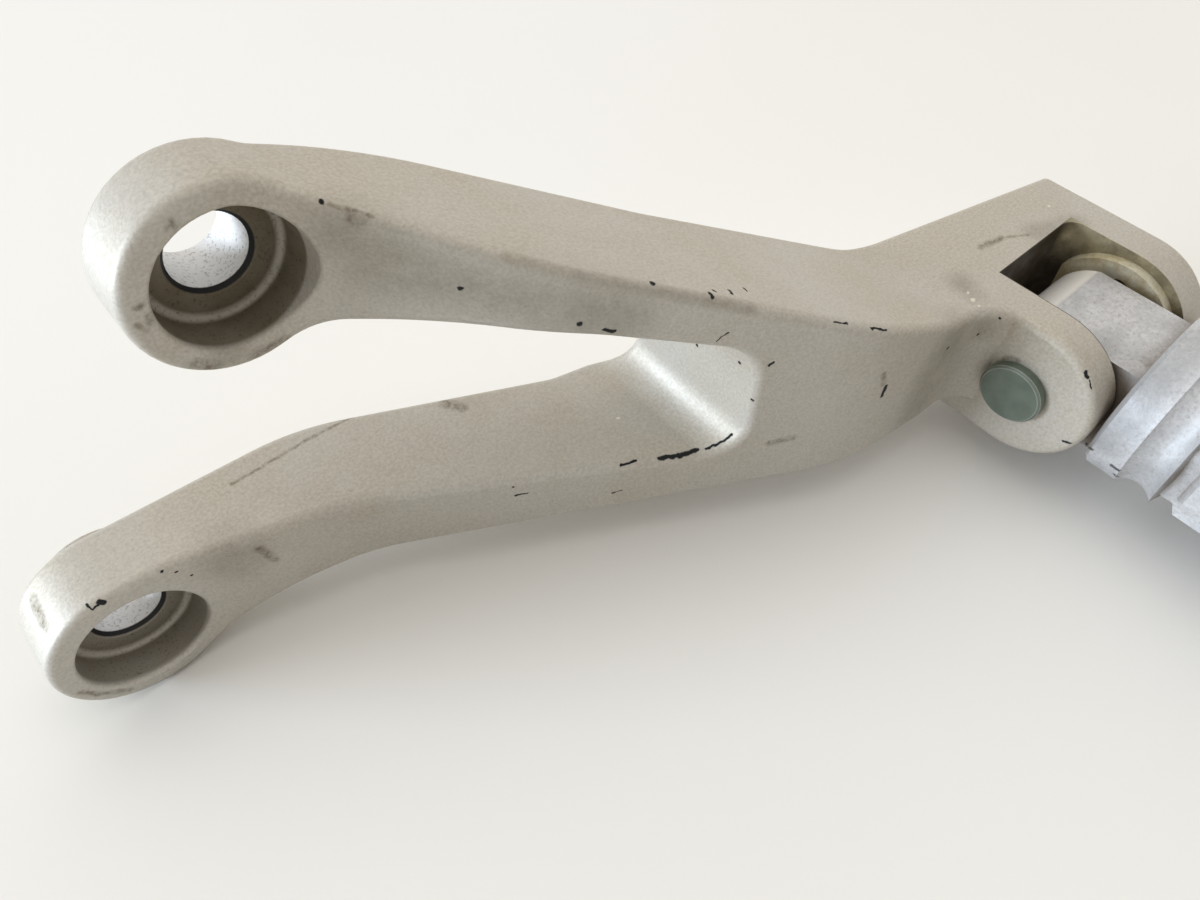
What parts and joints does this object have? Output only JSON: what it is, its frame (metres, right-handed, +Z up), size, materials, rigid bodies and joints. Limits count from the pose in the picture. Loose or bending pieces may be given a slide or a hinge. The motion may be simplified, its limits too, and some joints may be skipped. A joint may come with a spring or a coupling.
{
  "type": "passenger footpeg",
  "caption": "Folding passenger footpeg: a cast V bracket with counterbored bolt bosses and a clevis that carries a padded peg on a headed pin, with a ball detent.",
  "frame": {"origin": "upper bolt axis, at the end face of the boss spigot that seats on the motorbike", "axes": "+X along the bracket to the clevis, -Y outboard along the peg and out of the bolt holes, +Z up"},
  "size_m": [0.1972, 0.1638, 0.0814],
  "materials": {
    "painted_casting": "satin silver-grey paint over cast aluminium, chipped and stained",
    "bare_casting": "bare cast aluminium with brown dirt in the grooves",
    "zinc_steel": "dull zinc plating",
    "stained_steel": "stamped steel, brown with old grease",
    "ball_steel": "polished hardened steel"
  },
  "bodies": {
    "bracket_body": {"bracket": "painted_casting", "clevis_pin": "zinc_steel", "pin_washer": "zinc_steel", "split_pin": "zinc_steel", "click_plate": "stained_steel"},
    "peg_body": {"footpeg": "bare_casting", "click_spring": "ball_steel"},
    "ball_body": {"click_ball": "ball_steel"}
  },
  "joints": [
    {"name": "peg_fold", "type": "hinge", "parent": "bracket_body", "child": "peg_body", "pos_m": [0.1231, -0.077, -0.0471], "axis": [-1, 0, 0], "range_deg": [0, 90]},
    {"name": "click_ball_slide", "type": "slide", "parent": "peg_body", "child": "ball_body", "axis": [1, 0, 0], "range_m": [0, 0.0009], "stiffness_N_per_m": 3000, "springref_m": 0.0015, "deforming": ["click_spring"]}
  ]
}
